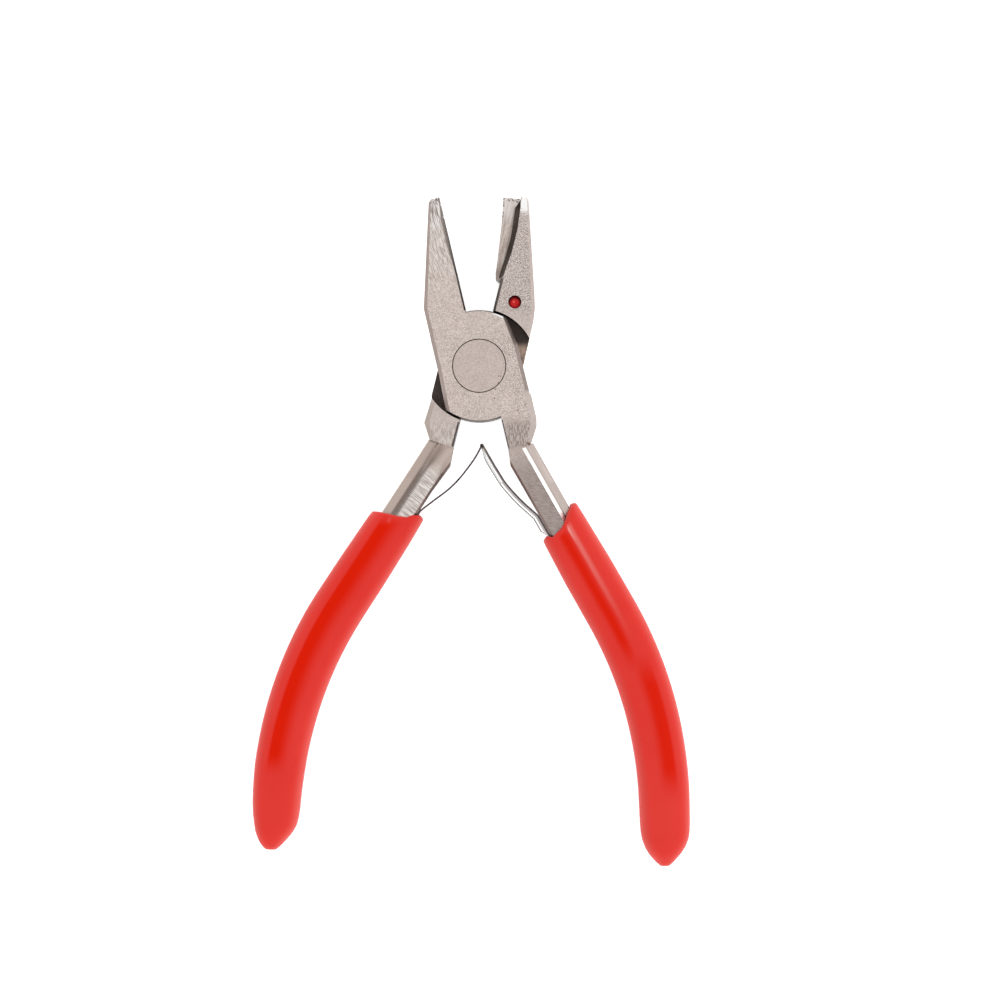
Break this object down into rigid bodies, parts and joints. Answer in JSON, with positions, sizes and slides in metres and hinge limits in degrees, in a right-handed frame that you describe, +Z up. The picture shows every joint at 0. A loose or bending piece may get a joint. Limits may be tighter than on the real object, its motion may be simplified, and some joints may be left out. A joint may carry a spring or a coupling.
{
  "type": "crimping pliers",
  "caption": "Spring-opened jewellery crimping pliers: lap-jointed steel jaws with a stepped floor, leaf springs between the handles, dipped vinyl grips.",
  "frame": {"origin": "on the pivot axis, in the plane of the underside the pliers lie on", "axes": "+Z up along the pivot axis, +Y from the pivot towards the open jaws, +X towards the jaw with the marker dot"},
  "size_m": [0.0878, 0.1341, 0.0092],
  "materials": {
    "satin_steel": "satin ground nickel-toned steel with fine speckled grain",
    "rivet_steel": "satin, ground flush",
    "spring_steel": "thin spring strip, slightly darker",
    "red_enamel": "glossy domed enamel",
    "red_vinyl": "glossy dipped vinyl"
  },
  "bodies": {
    "rear": {"rear_lever": "satin_steel", "pivot_rivet": "rivet_steel", "marking_dot": "red_enamel", "left_grip": "red_vinyl", "left_spring_tang": "spring_steel", "left_spring_rivet": "rivet_steel"},
    "front": {"front_lever": "satin_steel", "right_grip": "red_vinyl", "right_spring_tang": "spring_steel", "right_spring_rivet": "rivet_steel"},
    "left_leaf": {"left_spring_blade": "spring_steel"},
    "right_leaf": {"right_spring_blade": "spring_steel"}
  },
  "joints": [
    {"name": "jaw_pivot", "type": "hinge", "parent": "rear", "child": "front", "pos_m": [0, 0, 0.0046], "axis": [0, 0, -1], "range_deg": [0, 27], "stiffness_Nm_per_rad": 0.6, "springref_deg": -17.19},
    {"name": "left_leaf_bend", "type": "hinge", "parent": "rear", "child": "left_leaf", "pos_m": [-0.01145, -0.0284, 0.0046], "axis": [0, 0, 1], "range_deg": [0, 12.5]},
    {"name": "right_leaf_bend", "type": "hinge", "parent": "front", "child": "right_leaf", "pos_m": [0.01146, -0.02938, 0.0046], "axis": [0, 0, -1], "range_deg": [0, 11.2]}
  ],
  "couplings": [
    {"joint": "left_leaf_bend", "follows": "jaw_pivot", "ratio": 0.46},
    {"joint": "right_leaf_bend", "follows": "jaw_pivot", "ratio": 0.41}
  ]
}
